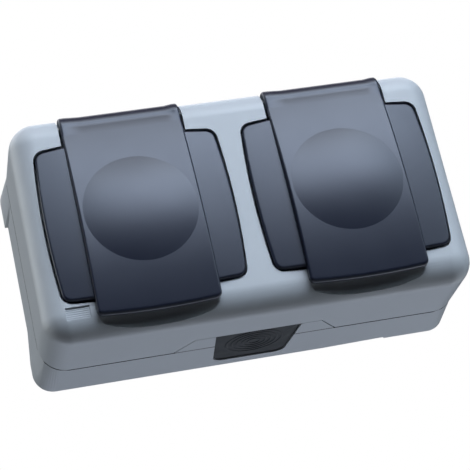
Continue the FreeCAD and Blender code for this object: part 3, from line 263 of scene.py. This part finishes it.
@dataclass(frozen=True)
class Moulding:
    """Injection-moulded plastic with a fine spark-eroded grain and faint flow clouds.

    A depth of painted shade above 0 paints shade into the base colour of every face that lies in a thin
    layer at that depth, such as the sides of the gap between box and cover, where the gap's shadow falls.
    """

    name: str
    colour: Colour
    roughness: float
    grain_cell: float = 0.28 * MM
    grain_depth: float = 0.006 * MM
    mottle: float = 0.03
    flow_cell: float = 24 * MM
    sink_cell: float = 9 * MM
    sink_depth: float = 0.004 * MM
    patch_sheen: float = 0.06
    grain_sheen: float = 0.05
    specular: float = 0.5
    tint: Colour = (1.0, 1.0, 1.0)
    # Depth, half thickness and colour of the layer of painted shade.
    painted_shade_depth: float = 0.0
    painted_shade_half: float = 0.36 * MM
    painted_shade_colour: Colour = (0.01, 0.01, 0.012)

    def inputs(self, shader: Shader) -> dict[str, object]:
        """The Principled shader's inputs.

        Args:
            shader: the material's node tree.

        Returns:
            Signals and constants by input.
        """
        flow = shader.noise(self.flow_cell, 3.0, (1.0, 1.0, 2.0))
        grain = shader.noise(self.grain_cell, 3.0)
        patch = shader.noise(self.sink_cell, 4.0)
        sink = shader.relief(patch, self.sink_depth)
        base = shader.blend(flow, scaled(self.colour, 1 - self.mottle),
                            scaled(self.colour, 1 + self.mottle))
        # Painted shade: a dark base colour in the layer at the parting stands in for the shadow in the gap
        # between box and cover.
        if self.painted_shade_depth:
            base = shader.blend(shader.seam(self.painted_shade_depth, self.painted_shade_half), base, self.painted_shade_colour)
        return {
            "Base Color": base,
            "Roughness": (self.roughness + self.patch_sheen * (patch - MEAN_NOISE)
                          + self.grain_sheen * (grain - MEAN_NOISE)),
            "Specular IOR Level": self.specular, "Specular Tint": (*self.tint, 1.0),
            "Normal": shader.relief(grain, self.grain_depth, sink),
        }


@dataclass(frozen=True)
class Elastomer:
    """Soft rubber with a powdery bloom."""

    name: str
    colour: Colour
    roughness: float = 0.62
    bloom: float = 0.35
    grain_cell: float = 0.4 * MM
    grain_depth: float = 0.012 * MM
    dust_cell: float = 5 * MM
    dust_from: float = 0.38
    dust_full: float = 0.72
    dust_keep: float = 0.75
    dust_white: float = 0.06
    dust_sheen: float = 0.1
    specular: float = 0.25
    fuzz: float = 0.03
    fuzz_roughness: float = 0.6

    def inputs(self, shader: Shader) -> dict[str, object]:
        """The Principled shader's inputs.

        Args:
            shader: the material's node tree.

        Returns:
            Signals and constants by input.
        """
        dust = shader.ramp(shader.noise(self.dust_cell, 6.0), self.dust_from, self.dust_full)
        dusty = tuple(self.dust_keep * part + self.dust_white for part in self.colour)
        grain = shader.noise(self.grain_cell, 4.0)
        return {
            "Base Color": shader.blend(dust * self.bloom, self.colour, dusty),
            "Roughness": self.roughness + self.dust_sheen * dust,
            "Specular IOR Level": self.specular,
            "Sheen Weight": self.fuzz, "Sheen Roughness": self.fuzz_roughness,
            "Normal": shader.relief(grain, self.grain_depth),
        }


@dataclass(frozen=True)
class Paper:
    """Pale backdrop paper that glows for the camera alone, so that it lights nothing."""

    name: str
    colour: Colour
    glow: float = 0.86
    cloud_cell: float = 300 * MM
    cloud_share: float = 0.96
    cloud_sheen: float = 0.1
    roughness: float = 0.8
    specular: float = 0.1

    def inputs(self, shader: Shader) -> dict[str, object]:
        """The Principled shader's inputs.

        Args:
            shader: the material's node tree.

        Returns:
            Signals and constants by input.
        """
        watched = shader.node("ShaderNodeLightPath", output="Is Camera Ray")
        clouds = shader.noise(self.cloud_cell, 3.0)
        seen = scaled(self.colour, self.glow / max(self.colour))
        return {
            "Base Color": shader.blend(clouds, scaled(self.colour, self.cloud_share), self.colour),
            "Roughness": self.roughness + self.cloud_sheen * clouds, "Specular IOR Level": self.specular,
            "Emission Color": shader.blend(watched, (0.0, 0.0, 0.0), seen),
            "Emission Strength": 1.0,
        }


@dataclass(frozen=True)
class Metal:
    """Plated, drawn or stamped metal with fine lines and a little tarnish."""

    name: str
    colour: Colour
    tarnish: Colour
    roughness: float = 0.28
    line_cell: float = 0.12 * MM
    line_axis: int = 0
    line_depth: float = 0.002 * MM
    line_stretch: float = 0.06
    line_sheen: float = 0.12
    stain_cell: float = 2.2 * MM
    stain_from: float = 0.42
    stain_full: float = 0.78
    stain_dulls: float = 0.12
    stain_sheen: float = 0.1

    def inputs(self, shader: Shader) -> dict[str, object]:
        """The Principled shader's inputs.

        Args:
            shader: the material's node tree.

        Returns:
            Signals and constants by input.
        """
        stretch = tuple(self.line_stretch if axis == self.line_axis else 1.0 for axis in range(3))
        lines = shader.noise(self.line_cell, 2.0, stretch)
        stain = shader.ramp(shader.noise(self.stain_cell, 5.0), self.stain_from, self.stain_full)
        return {
            "Base Color": shader.blend(stain, self.colour, self.tarnish),
            "Metallic": 1.0 - self.stain_dulls * stain,
            "Roughness": self.roughness + self.line_sheen * lines + self.stain_sheen * stain,
            "Normal": shader.relief(lines, self.line_depth),
        }


# The housing plastic paints shade into a thin layer at the parting, where the gap between box and cover lies
# in shadow.
HOUSING_PLASTIC = Moulding("housing_moulding", (0.475, 0.507, 0.548), 0.42, painted_shade_depth=21.1 * MM)
LID_PLASTIC = Moulding("lid_moulding", (0.01, 0.013, 0.028), 0.34, grain_depth=0.004 * MM, mottle=0.05,
                       specular=0.61, tint=(0.86, 0.905, 1.0))
WELL_PLASTIC = Moulding("well_moulding", (0.022, 0.025, 0.033), 0.45)
CARRIER_PLASTIC = Moulding("thermoset", (0.4, 0.39, 0.35), 0.6, grain_cell=0.5 * MM, mottle=0.12)
SEAL_RUBBER = Elastomer("seal_rubber", (0.02, 0.02, 0.022))
MEMBRANE_RUBBER = Elastomer("membrane_rubber", (0.006, 0.009, 0.014), bloom=0.06)
PIN_STEEL = Metal("drawn_steel", (0.56, 0.56, 0.57), (0.42, 0.41, 0.4), 0.2, line_axis=0)
SPRING_STEEL = Metal("spring_steel", (0.5, 0.5, 0.52), (0.36, 0.34, 0.3), 0.25, line_axis=0)
SCREW_STEEL = Metal("zinc_plated_steel", (0.6, 0.6, 0.58), (0.48, 0.46, 0.36), 0.3, line_axis=1)
CONTACT_BRASS = Metal("stamped_brass", (0.72, 0.53, 0.24), (0.45, 0.28, 0.12), 0.3, line_axis=1)

Finish = Moulding | Elastomer | Metal | Paper
MADE: dict[str, bpy.types.Material] = {}


def material_of(finish: Finish) -> bpy.types.Material:
    """The material of a finish, made once.

    Args:
        finish: the finish.

    Returns:
        Its material.
    """
    if finish.name not in MADE:
        made = MADE[finish.name] = bpy.data.materials.new(finish.name)
        shader = Shader(made)
        surface = shader.node("ShaderNodeBsdfPrincipled", None, finish.inputs(shader))
        shader.node("ShaderNodeOutputMaterial", None, {"Surface": surface})
    return MADE[finish.name]


# Forms


@dataclass(frozen=True)
class Crown:
    """Gently crowned surface: an ellipsoid, or a cylinder where a half axis is endless.

    Facets whose middle lies above the ceiling aren't part of it.
    """

    centre: Colour
    halves: Colour
    tolerance: float = 0.02 * MM
    fillet_step: float = 20.0
    ceiling: float = 1.0

    def normal_at(self, spot: Vector, facing: Vector) -> Vector | None:
        """Exact normal of the crown at a corner of a facet.

        Args:
            spot: the corner.
            facing: the facet's normal.

        Returns:
            The normal, or None where the corner isn't on the crown or its facet faces elsewhere.
        """
        part = [(spot[axis] - self.centre[axis]) / self.halves[axis] for axis in range(3)]
        away = Vector(part[axis] / self.halves[axis] for axis in range(3))
        height = (Vector(part).length - 1) / away.length
        normal = away.normalized()
        near = abs(height) < self.tolerance and normal.angle(facing) < math.radians(self.fillet_step)
        return normal if near else None


@dataclass
class Solid:
    """A moulded or pressed piece whose form comes from the frame, with joined facets and soft shading."""

    node: str
    finish: Finish
    body: str
    sharp: float = 32.0
    edge: float = 0.0
    edge_segments: int = 2
    crowns: tuple[Crown, ...] = ()
    merge: float = 0.002 * MM
    flat: float = 0.05
    edge_extra: float = 20.0

    def build(self) -> bpy.types.Object:
        """Make the piece in place of the frame's node.

        Returns:
            The piece.
        """
        rough = bpy.data.objects.new(f"{self.node}_rough", self.joined())
        bpy.context.scene.collection.objects.link(rough)
        if self.edge:
            bevel = rough.modifiers.new("edge", "BEVEL")
            bevel.width = self.edge
            bevel.segments = self.edge_segments
            bevel.limit_method = "ANGLE"
            bevel.angle_limit = math.radians(self.sharp + self.edge_extra)
        weigh = rough.modifiers.new("weigh", "WEIGHTED_NORMAL")
        weigh.keep_sharp = True
        mesh = bpy.data.meshes.new_from_object(rough.evaluated_get(bpy.context.evaluated_depsgraph_get()))
        bpy.data.objects.remove(rough)
        self.smooth_crowns(mesh)
        piece = bpy.data.objects.new(f"{self.node}_finished", mesh)
        bpy.context.scene.collection.objects.link(piece)
        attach(piece, self.body)
        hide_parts(self.node)
        slot_of(self.node)
        return piece

    def joined(self) -> bpy.types.Mesh:
        """Copy the node's facets, joined along their edges.

        Returns:
            The copy, smooth up to the sharp edges.
        """
        form = bmesh.new()
        form.from_mesh(frame["nodes"][self.node].data)
        bmesh.ops.remove_doubles(form, verts=form.verts, dist=self.merge)
        bmesh.ops.dissolve_limit(form, angle_limit=math.radians(self.flat), verts=form.verts,
                                 edges=form.edges)
        self.reshape(form)
        mesh = bpy.data.meshes.new(f"{self.node}_form")
        form.to_mesh(mesh)
        form.free()
        mesh.materials.clear()
        mesh.materials.append(material_of(self.finish))
        mesh.polygons.foreach_set("use_smooth", [True] * len(mesh.polygons))
        mesh.set_sharp_from_angle(angle=math.radians(self.sharp))
        return mesh

    def reshape(self, form: bmesh.types.BMesh) -> None:
        """Refine the copy's form; a plain piece keeps it.

        Args:
            form: the joined facets.
        """

    def smooth_crowns(self, mesh: bpy.types.Mesh) -> None:
        """Give the facets of crowned faces the crown's exact normals.

        Args:
            mesh: the piece's mesh, with its final facets.
        """
        normals = [corner.vector.copy() for corner in mesh.corner_normals]
        for facet in mesh.polygons:
            for corner in facet.loop_indices:
                spot = mesh.vertices[mesh.loops[corner].vertex_index].co
                exact = [normal for crown in self.crowns if facet.center.z < crown.ceiling
                         and (normal := crown.normal_at(spot, facet.normal))]
                if exact:
                    normals[corner] = min(exact, key=facet.normal.angle)
        if self.crowns:
            mesh.normals_split_custom_set(normals)


def score(form: bmesh.types.BMesh, axis: int, places: tuple[float, ...]) -> None:
    """Add edges where planes across an axis cut the form.

    Args:
        form: the mesh.
        axis: the axis that the planes stand across, 0 to 2.
        places: where they cross it.
    """
    normal = Vector(float(axis == number) for number in range(3))
    for place in places:
        everything = [*form.verts, *form.edges, *form.faces]
        bmesh.ops.bisect_plane(form, geom=everything, dist=HAIR, plane_co=place * normal, plane_no=normal)


@dataclass
class FlaredBox(Solid):
    """The box, whose flare runs out at the parting without a shelf at the corners.

    Its edge stands back from the parting, so that the gap to the cover is seen.
    """

    half: float = 73.6 * MM
    bottom: float = -40 * MM
    top: float = 39.3 * MM
    round: float = 9.2 * MM
    flare_depth: float = 21.2 * MM
    parting: float = 0.45 * MM
    near: float = 0.1 * MM

    def reshape(self, form: bmesh.types.BMesh) -> None:
        """Draw the flare's corners in to the outline of the cover and set the edge back.

        Args:
            form: the joined facets.
        """
        score(form, 0, (self.round - self.half, self.half - self.round))
        score(form, 2, (self.bottom + self.round, self.top - self.round))
        for vert in form.verts:
            spot = vert.co
            inner = Vector((max(self.round - self.half, min(self.half - self.round, spot.x)), spot.y,
                            max(self.bottom + self.round, min(self.top - self.round, spot.z))))
            reach = (spot - inner).length
            if reach > self.round:
                share = max(0.0, 1 + spot.y / self.flare_depth)
                vert.co = inner + (spot - inner) * (self.round + (reach - self.round) * share) / reach
            if reach > self.round - self.near and abs(spot.y + self.flare_depth) < self.near:
                vert.co.y += self.parting
        bmesh.ops.remove_doubles(form, verts=form.verts, dist=self.merge)
        bmesh.ops.dissolve_degenerate(form, edges=form.edges, dist=self.merge)


@dataclass
class RingedMembrane(Solid):
    """The membrane, whose moulded rings are worn down to low waves."""

    level: float = -39.5 * MM
    share: float = 0.45

    def reshape(self, form: bmesh.types.BMesh) -> None:
        """Lower the rings.

        Args:
            form: the joined facets.
        """
        for vert in form.verts:
            if vert.co.z < self.level:
                vert.co.z = self.level + (vert.co.z - self.level) * self.share


@dataclass
class BentLid(Solid):
    """A lid, whose strap bends back above a crisp line and runs on upright to its top edge."""

    middle: float = 0.0
    foot: float = 31.1 * MM
    shoulder: float = 34.0 * MM
    soft: float = 0.8 * MM
    slope: float = 0.25
    skin: float = 3.2 * MM
    left_fade: tuple[float, float] = (-18.4 * MM, -13.5 * MM)
    right_fade: tuple[float, float] = (18.6 * MM, 16.0 * MM)

    def reshape(self, form: bmesh.types.BMesh) -> None:
        """Cut the strap along the bend and push what lies above it back.

        Args:
            form: the joined facets.
        """
        score(form, 2, (self.foot, self.shoulder - self.soft, self.shoulder, self.shoulder + self.soft))
        score(form, 0, tuple(self.middle + across for across in (*self.left_fade, *self.right_fade)))
        strap = self.crowns[0]
        for vert in form.verts:
            across = vert.co.x - self.middle
            rise = min(vert.co.z, self.shoulder) - self.foot
            part = [(vert.co[axis] - strap.centre[axis]) / strap.halves[axis] for axis in range(3)]
            outside = (Vector(part).length - 1) * strap.halves[2]
            if rise > 0 and outside > -self.skin:
                fade = min((across - self.left_fade[0]) / (self.left_fade[1] - self.left_fade[0]),
                           (across - self.right_fade[0]) / (self.right_fade[1] - self.right_fade[0]))
                vert.co.y += self.slope * rise * max(0.0, min(1.0, fade))

    def joined(self) -> bpy.types.Mesh:
        """Copy the node's facets and keep the bend's lower line crisp.

        Returns:
            The copy.
        """
        mesh = super().joined()
        low, high = self.left_fade[1] - self.merge, self.right_fade[1] + self.merge
        for edge in mesh.edges:
            ends = [mesh.vertices[index].co for index in edge.vertices]
            if all(abs(end.z - self.foot) < self.merge and low < end.x - self.middle < high for end in ends):
                edge.use_edge_sharp = True
        return mesh


def slot_of(node: str) -> str:
    """The record's material slot of a node."""
    return next(part["material_slot"] for part in frame["record"]["subparts"] if part["node"] == node)


def dress(node: str, finish: Finish) -> None:
    """Give a node of the frame its finish.

    Args:
        node: the node's name.
        finish: the finish.
    """
    mesh = frame["nodes"][node].data
    mesh.materials.clear()
    mesh.materials.append(material_of(finish))


# Sub-assemblies


@dataclass
class Housing:
    """Box, cover and the seal between them."""

    body: str = "housing"
    edge: float = 0.15 * MM

    def build(self) -> list[bpy.types.Object]:
        """Make the housing's pieces.

        Returns:
            The pieces.
        """
        dress("cover_seal", SEAL_RUBBER)
        return [FlaredBox("back_box", HOUSING_PLASTIC, self.body).build(),
                Solid("front_cover", HOUSING_PLASTIC, self.body, edge=self.edge).build(),
                RingedMembrane("cable_membrane", MEMBRANE_RUBBER, self.body).build(),
                Solid("cover_screws", SCREW_STEEL, self.body).build()]


@dataclass
class Flap:
    """One hinged lid with its ring, spring and pin."""

    side: Side
    crown_drop: float = 10 * MM
    strap_front: float = 57.8 * MM
    strap_crown: float = 212 * MM
    wing_front: float = 56.2 * MM
    wing_across: float = 300 * MM
    wing_upright: float = 400 * MM
    bulge: float = 100 * MM
    dome_radius: float = 19.2 * MM
    dome_height: float = 1.25 * MM
    endless: float = 1000.0
    bend: float = 31.1 * MM

    def crowns(self) -> tuple[Crown, ...]:
        """The crowned faces of strap, wings and dome.

        Returns:
            Their crowns.
        """
        middle, bulge = self.side.centre, self.bulge
        strap = Crown((middle, self.strap_crown - self.strap_front, -self.crown_drop),
                      (self.endless, self.strap_crown, self.strap_crown), ceiling=self.bend)
        wings = Crown((middle, bulge - self.wing_front, -self.crown_drop),
                      (math.sqrt(bulge * self.wing_across), bulge, math.sqrt(bulge * self.wing_upright)))
        across = self.dome_height / self.dome_radius ** 2
        upright = across + 1 / (2 * self.strap_crown)
        drop = self.crown_drop / (2 * self.strap_crown * upright)
        front = (self.strap_front - self.crown_drop ** 2 / (2 * self.strap_crown)
                 + self.dome_height + upright * drop ** 2)
        dome = Crown((middle, bulge - front, -drop),
                     (math.sqrt(bulge / (2 * across)), bulge, math.sqrt(bulge / (2 * upright))))
        return strap, wings, dome

    def build(self) -> list[bpy.types.Object]:
        """Make the lid's pieces.

        Returns:
            The pieces.
        """
        name, body = self.side.value, f"{self.side.value}_flap"
        return [BentLid(f"lid_{name}", LID_PLASTIC, body, sharp=26.0, crowns=self.crowns(),
                        middle=self.side.centre, foot=self.bend).build(),
                Solid(f"lid_seal_{name}", SEAL_RUBBER, body).build(),
                Solid(f"lid_spring_{name}", SPRING_STEEL, body).build(),
                Solid(f"hinge_pin_{name}", PIN_STEEL, "housing").build()]


@dataclass
class Gang:
    """The well of one gang and what is in and behind it."""

    side: Side

    def build(self) -> list[bpy.types.Object]:
        """Make the gang's pieces.

        Returns:
            The pieces.
        """
        name = self.side.value
        dress(f"contact_carrier_{name}", CARRIER_PLASTIC)
        dress(f"face_seal_{name}", SEAL_RUBBER)
        dress(f"terminal_screws_{name}", SCREW_STEEL)
        dress(f"carrier_screws_{name}", SCREW_STEEL)
        return [Solid(f"socket_face_{name}", WELL_PLASTIC, "housing").build(),
                Solid(f"earth_strap_{name}", SPRING_STEEL, "housing").build(),
                Solid(f"centre_screw_{name}", SCREW_STEEL, "housing").build(),
                Solid(f"live_contact_{name}", CONTACT_BRASS, "housing").build(),
                Solid(f"neutral_contact_{name}", CONTACT_BRASS, "housing").build()]


# Studio


@dataclass(frozen=True)
class Softbox:
    """A rectangular light that looks at the object."""

    name: str
    azimuth: float
    elevation: float
    width: float
    height: float
    glow: Colour
    distance: float = 1.3

    def build(self, target: Vector) -> None:
        """Hang the light.

        Args:
            target: the point that it looks at.
        """
        lamp = bpy.data.lights.new(self.name, "AREA")
        lamp.shape = "RECTANGLE"
        lamp.size, lamp.size_y = self.width, self.height
        brightest = max(self.glow)
        lamp.energy = math.pi * self.width * self.height * brightest
        lamp.color = scaled(self.glow, 1 / brightest)
        turn, rise = math.radians(self.azimuth), math.radians(self.elevation)
        toward = Vector((math.sin(turn) * math.cos(rise), -math.cos(turn) * math.cos(rise), math.sin(rise)))
        item = bpy.data.objects.new(self.name, lamp)
        item.location = target + self.distance * toward
        item.rotation_mode = "QUATERNION"
        item.rotation_quaternion = toward.to_track_quat("Z", "Y")
        bpy.context.scene.collection.objects.link(item)


@dataclass(frozen=True)
class Camera:
    """The photograph's view."""

    place: Colour = (-0.13852, -0.62411, -0.23512)
    turn: Colour = (111.2486, 12.2729, -8.3596)
    lens: float = 145.05
    sensor: float = 36.0
    nearest: float = 0.01
    farthest: float = 20.0

    def build(self) -> None:
        """Set up the camera."""
        data = bpy.data.cameras.new("camera")
        data.lens, data.sensor_width = self.lens, self.sensor
        data.clip_start, data.clip_end = self.nearest, self.farthest
        item = bpy.data.objects.new("camera", data)
        item.location = self.place
        item.rotation_euler = Euler([math.radians(angle) for angle in self.turn])
        bpy.context.scene.collection.objects.link(item)
        bpy.context.scene.camera = item


@dataclass(frozen=True)
class Studio:
    """Pale floor, bright backdrop and soft lights."""

    floor_level: float = -2.6
    floor_half: float = 9.0
    around: Colour = (0.012, 0.012, 0.012)
    boxes: tuple[Softbox, ...] = (
        Softbox("key", 16, 35, 0.72, 0.5, (6.4, 7.15, 8.3)),
        Softbox("key_right", 46, 38, 0.7, 0.6, (2.1, 2.5, 2.9)),
        Softbox("key_left", -15, 42, 0.6, 0.7, (2.0, 2.35, 2.7)),
        Softbox("key_high", 12, 52, 1.1, 0.3, (3.0, 3.0, 2.85)),
        Softbox("front_right", 52, 14, 0.7, 0.5, (2.2, 2.6, 2.8)),
        Softbox("top", 0, 78, 2.0, 0.7, (0.4, 0.3, 0.3)),
        Softbox("high_left", -58, 52, 0.6, 0.6, (1.3, 1.4, 1.4)),
        Softbox("rear_top", 180, 52, 1.8, 0.8, (1.6, 1.6, 1.7)),
        Softbox("left", -110, 20, 0.9, 1.4, (2.2, 2.3, 2.3)),
        Softbox("under", 0, -84, 2.6, 0.5, (0.04, 0.04, 0.04)),
        Softbox("rear_low", 180, -38, 1.6, 0.7, (1.15, 1.27, 1.5)),
        Softbox("rear_right", 125, -35, 0.9, 0.9, (1.3, 1.4, 1.5)),
    )

    def build(self) -> None:
        """Set up floor, world and lights."""
        self.lay_floor()
        self.light_world()
        low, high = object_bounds()
        for box in self.boxes:
            box.build((low + high) / 2)
        bpy.context.scene.view_settings.view_transform = "Standard"
        Camera().build()

    def lay_floor(self) -> None:
        """Lay the floor below the object."""
        form = bmesh.new()
        bmesh.ops.create_grid(form, x_segments=1, y_segments=1, size=self.floor_half)
        bmesh.ops.translate(form, verts=form.verts, vec=(0, 0, self.floor_level))
        mesh = bpy.data.meshes.new("floor")
        form.to_mesh(mesh)
        form.free()
        mesh.materials.append(material_of(Paper("floor_paper", (0.8, 0.8, 0.8))))
        floor = bpy.data.objects.new("floor", mesh)
        bpy.context.scene.collection.objects.link(floor)
        floor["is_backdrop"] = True

    def light_world(self) -> None:
        """White behind the object, dim all round it."""
        world = bpy.data.worlds.new("studio")
        bpy.context.scene.world = world
        shader = Shader(world)
        seen = shader.node("ShaderNodeBackground", None, {"Color": (1, 1, 1, 1)})
        around = shader.node("ShaderNodeBackground", None, {"Color": (*self.around, 1)})
        watched = shader.node("ShaderNodeLightPath", output="Is Camera Ray")
        mixed = shader.node("ShaderNodeMixShader", None, {0: watched, 1: around, 2: seen})
        shader.node("ShaderNodeOutputWorld", None, {"Surface": mixed})


def main() -> None:
    """Build every sub-assembly, then the studio."""
    logging.basicConfig(level=logging.INFO, format="%(name)s: %(message)s")
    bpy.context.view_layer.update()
    for part in (Housing(), Flap(Side.LEFT), Flap(Side.RIGHT), Gang(Side.LEFT), Gang(Side.RIGHT)):
        for piece in part.build():
            LOG.info("%s: %d faces", piece.name, len(piece.data.polygons))
    Studio().build()


if __name__ == "__main__":
    main()
